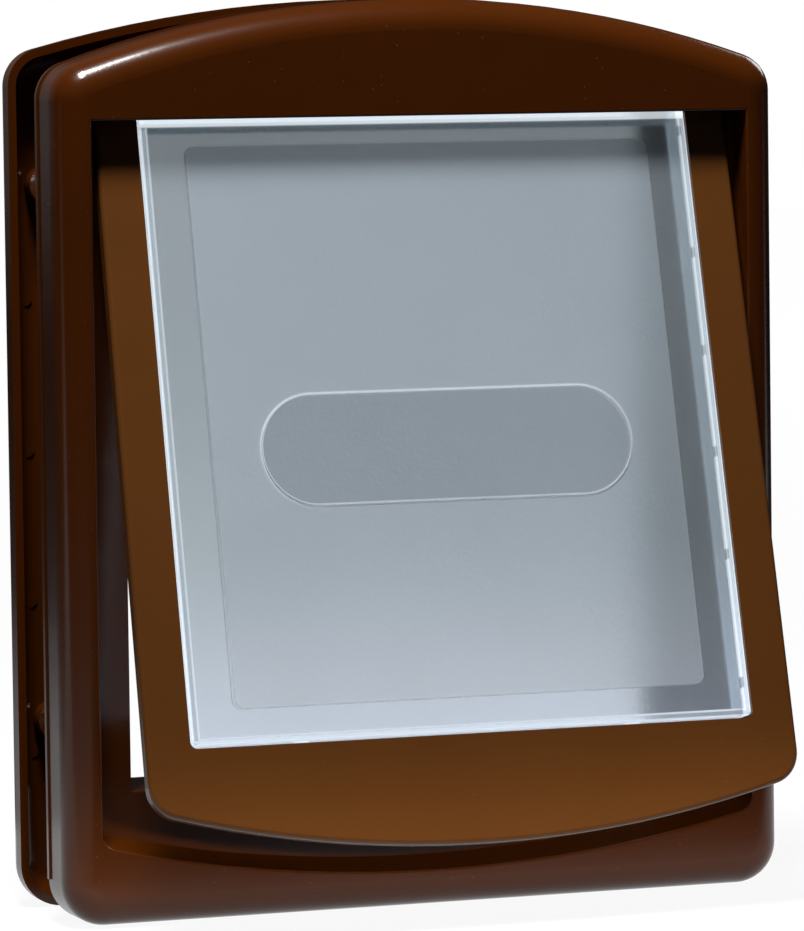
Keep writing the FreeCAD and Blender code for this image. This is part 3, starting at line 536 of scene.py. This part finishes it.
BOLT_ACROSS = 87.5 * MM
BOLT_LOW = 48.0 * MM
BOLT_TOP = 188.0 * MM
BOLT_PLACES = {
    "low_left": (-BOLT_ACROSS, BOLT_LOW),
    "low_right": (BOLT_ACROSS, BOLT_LOW),
    "top_left": (-BOLT_ACROSS, BOLT_TOP),
    "top_right": (BOLT_ACROSS, BOLT_TOP),
}
for place, (across, height) in BOLT_PLACES.items():
    bolt = turned_piece("bolt_with_thread_" + place, BOLT_ROWS, across, height)
    bolt.data.materials.append(steel)
    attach(bolt, "frame")
    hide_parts("fixing_bolt_" + place)
    print(bolt.name, "has", len(bolt.data.polygons), "faces")

# %% [markdown]
# ## The floor and the white surroundings
# The photograph stands the flap on white. The floor is a dark sheet that glows just short of white for
# the camera, and the lamps add the rest, so the flap's shadow still shows on it and it lights nothing
# itself. Glossy plastic mirrors only parts of a studio: here a strip close under the flap and a patch
# to its left, which draw the sheen along the bottom bar and the grey line down the left limb. Rays that
# came through the clear panel see the floor too, brighter close by than far away. Each zone below is a
# range in metres with the strengths at its two ends.

# %% Floor
FLOOR_SIZE = 12
FLOOR_DROP = 0.2 * MM            # keeps the sheet clear of the frame's foot
FLOOR_COLOUR = (0.05, 0.05, 0.05, 1)
WHITE = (1, 1, 1, 1)
LEFT_BY_REACH = (0.30, 0.95, 0.42, 0.0)
LEFT_BY_SIDE = (-0.16, -0.09, 1.0, 0.0)
UNDER_FRONT = (-0.11, -0.07, 0.0, 0.8)
UNDER_BACK = (0.15, 0.22, 1.0, 0.0)
THROUGH_BY_DEPTH = (0.1, 2.5, 1.15, 0.60)
CAMERA_BY_REACH = (0.3, 2.5, 0.92, 0.99)

bpy.ops.mesh.primitive_plane_add(size=FLOOR_SIZE, location=(0, 0, -FLOOR_DROP))
floor = bpy.context.object
floor.name = "floor"
bpy.ops.object.transform_apply(location=True, rotation=True, scale=True)
material, tree, shader = new_material("pale floor")
shader.inputs["Base Color"].default_value = FLOOR_COLOUR
shader.inputs["Roughness"].default_value = 1.0
shader.inputs["Specular IOR Level"].default_value = 0.0

path = tree.nodes.new("ShaderNodeLightPath").outputs
place = tree.nodes.new("ShaderNodeTexCoord").outputs["Object"]
across, depth, _ = add_node(tree, "ShaderNodeSeparateXYZ", Vector=place).outputs
reach = add_node(tree, "ShaderNodeVectorMath", {"operation": "LENGTH"},
                 Vector=place).outputs["Value"]
on_left = maths(tree, "MULTIPLY", remap(tree, reach, *LEFT_BY_REACH),
                remap(tree, across, *LEFT_BY_SIDE))
under = maths(tree, "MULTIPLY", remap(tree, depth, *UNDER_FRONT),
              remap(tree, maths(tree, "ABSOLUTE", depth), *UNDER_BACK))
mirrored = maths(tree, "MULTIPLY", path["Is Glossy Ray"], maths(tree, "MAXIMUM", on_left, under))
through = maths(tree, "MULTIPLY", path["Is Transmission Ray"],
                remap(tree, depth, *THROUGH_BY_DEPTH))
direct = maths(tree, "MULTIPLY", path["Is Camera Ray"], remap(tree, reach, *CAMERA_BY_REACH))
glow = maths(tree, "MAXIMUM", direct, maths(tree, "MAXIMUM", mirrored, through))
put(tree, shader, "Emission Color", WHITE)
put(tree, shader, "Emission Strength", glow)
floor.data.materials.append(material)
print("floor", FLOOR_SIZE, "m wide with", len(tree.nodes), "nodes")

# %% [markdown]
# The world beyond the floor is white for the camera and less so through the clear panel. The light that
# it gives to the flap is almost nothing. Glossy plastic mirrors a dim studio, with a faint glow behind
# the flap on the left that keeps the far rims from going black.

# %% World
WORLD_LIGHT = 0.02
SEEN_THROUGH_PANEL = 0.60
REAR_GLOW = 0.12
REAR_BY_DEPTH = (0.3, 0.6, 0.0, 1.0)
REAR_BY_SIDE = (-0.1, 0.3, 1.0, 0.0)

world = bpy.data.worlds.new("studio")
bpy.context.scene.world = world
world.use_nodes = True
tree = world.node_tree
tree.nodes.clear()
path = tree.nodes.new("ShaderNodeLightPath").outputs
toward = tree.nodes.new("ShaderNodeTexCoord").outputs["Generated"]
heading = add_node(tree, "ShaderNodeSeparateXYZ", Vector=toward).outputs
behind = maths(tree, "MULTIPLY", remap(tree, heading["Y"], *REAR_BY_DEPTH),
               remap(tree, heading["X"], *REAR_BY_SIDE))
mirrored = maths(tree, "MULTIPLY", path["Is Glossy Ray"],
                 maths(tree, "MULTIPLY", behind, REAR_GLOW))
through = maths(tree, "MULTIPLY", path["Is Transmission Ray"], SEEN_THROUGH_PANEL)
seen = maths(tree, "MAXIMUM", maths(tree, "MAXIMUM", path["Is Camera Ray"], through), mirrored)
level = maths(tree, "ADD", maths(tree, "MULTIPLY", seen, 1 - WORLD_LIGHT), WORLD_LIGHT)
back = add_node(tree, "ShaderNodeBackground", Color=WHITE, Strength=level)
out = tree.nodes.new("ShaderNodeOutputWorld")
tree.links.new(back.outputs[0], out.inputs[0])
print("world", world.name, "with", len(tree.nodes), "nodes")

# %% [markdown]
# ## Soft light
# One softbox hangs above, to the left and a little in front, as in the photograph, and leaves the
# streak on the roll of the frame. A low narrow beam from the front stands for the light that a white
# table throws back up: it warms the foot of the flap, and it is kept out of the reflections. A weak
# softbox on the right and behind gives the house side some shape.

# %% Lamps
def softbox(name, place, target, width, height, power):
    """A rectangular area lamp that faces a point."""
    bpy.ops.object.light_add(type="AREA", location=place)
    lamp = bpy.context.object
    lamp.name = name
    lamp.data.shape = "RECTANGLE"
    lamp.data.size = width
    lamp.data.size_y = height
    lamp.data.energy = power
    way = Vector(target) - Vector(place)
    lamp.rotation_euler = way.to_track_quat("-Z", "Y").to_euler()
    print(name, power, "W")
    return lamp


MIDDLE = (0, 0, 0.12)
FOOT = (0.0, -0.02, 0.004)
BEAM_SPREAD = radians(10)
softbox("softbox above", (-0.27, -0.40, 1.50), MIDDLE, 0.25, 0.36, 47.0)
softbox("softbox behind", (1.30, 0.85, 0.90), MIDDLE, 0.60, 0.60, 5.0)
bounce = softbox("bounce from the front", (0.0, -0.50, 0.10), FOOT, 0.36, 0.02, 0.06)
bounce.data.spread = BEAM_SPREAD
bounce.visible_glossy = False
